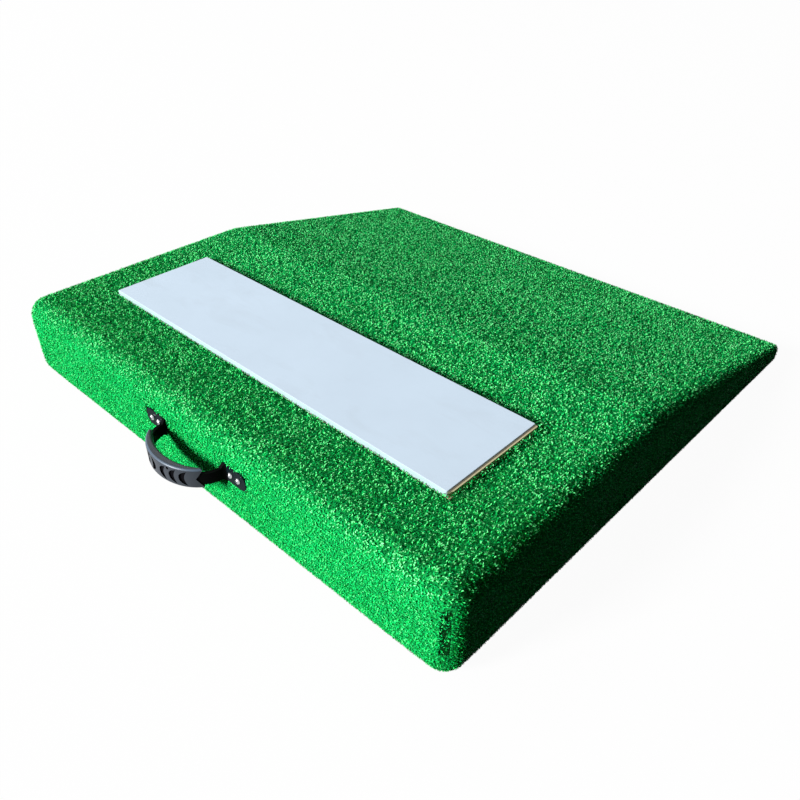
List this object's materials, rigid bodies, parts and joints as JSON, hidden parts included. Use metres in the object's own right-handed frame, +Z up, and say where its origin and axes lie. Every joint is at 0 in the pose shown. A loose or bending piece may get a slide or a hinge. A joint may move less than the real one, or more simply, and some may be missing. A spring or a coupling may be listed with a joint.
{
  "type": "portable pitching mound",
  "caption": "Low wedge-shaped pitching mound wrapped in green artificial turf, with a white pitching rubber on its level top and a carrying handle on its tall back face.",
  "frame": {"origin": "middle of the mound's footprint, on the ground under the grip sheet", "axes": "+X along the pitching rubber, +Y from the tall back face with the handle down the slope to the toe, +Z up"},
  "size_m": [0.796, 0.833, 0.1278],
  "materials": {
    "turf": "short curled artificial turf pile on a woven backing",
    "foam": "matt closed-cell foam",
    "plywood": "sanded plywood with bare edges",
    "timber": "planed softwood",
    "grip_rubber": "ribbed non-slip rubber sheet",
    "white_rubber": "smooth satin white rubber with faint scuffs",
    "strap_plastic": "fine-grained black plastic",
    "grip_plastic": "soft grey over-moulded grip",
    "handle_screw": "bright nickel-plated pan head",
    "steel": "bright zinc-plated steel",
    "zinc_screw": "yellow passivated steel",
    "brass_insert": "turned brass"
  },
  "bodies": {
    "root": {"base_panel": "plywood", "toe_strip": "timber", "grip_sheet": "grip_rubber", "back_panel": "plywood", "left_side_panel": "plywood", "right_side_panel": "plywood", "left_corner_block": "timber", "right_corner_block": "timber", "break_bearer": "timber", "handle_backer": "timber", "flat_deck": "plywood", "slope_deck": "plywood", "left_rib": "plywood", "centre_rib": "plywood", "right_rib": "plywood", "flat_deck_screw_1": "zinc_screw", "flat_deck_screw_2": "zinc_screw", "flat_deck_screw_3": "zinc_screw", "flat_deck_screw_4": "zinc_screw", "flat_deck_screw_5": "zinc_screw", "flat_deck_screw_6": "zinc_screw", "slope_deck_screw_1": "zinc_screw", "slope_deck_screw_2": "zinc_screw", "slope_deck_screw_3": "zinc_screw", "slope_deck_screw_4": "zinc_screw", "slope_deck_screw_5": "zinc_screw", "slope_deck_screw_6": "zinc_screw", "foam_underlay": "foam", "turf_cover": "turf", "pitching_rubber": "white_rubber", "rubber_bolt_1": "steel", "rubber_bolt_2": "steel", "rubber_bolt_3": "steel", "rubber_bolt_4": "steel", "rubber_washer_1": "steel", "rubber_washer_2": "steel", "rubber_washer_3": "steel", "rubber_washer_4": "steel", "rubber_insert_1": "brass_insert", "rubber_insert_2": "brass_insert", "rubber_insert_3": "brass_insert", "rubber_insert_4": "brass_insert", "handle_strap": "strap_plastic", "handle_grip": "grip_plastic", "handle_screw_1": "handle_screw", "handle_screw_2": "handle_screw", "handle_screw_3": "handle_screw", "handle_screw_4": "handle_screw"}
  },
  "joints": []
}
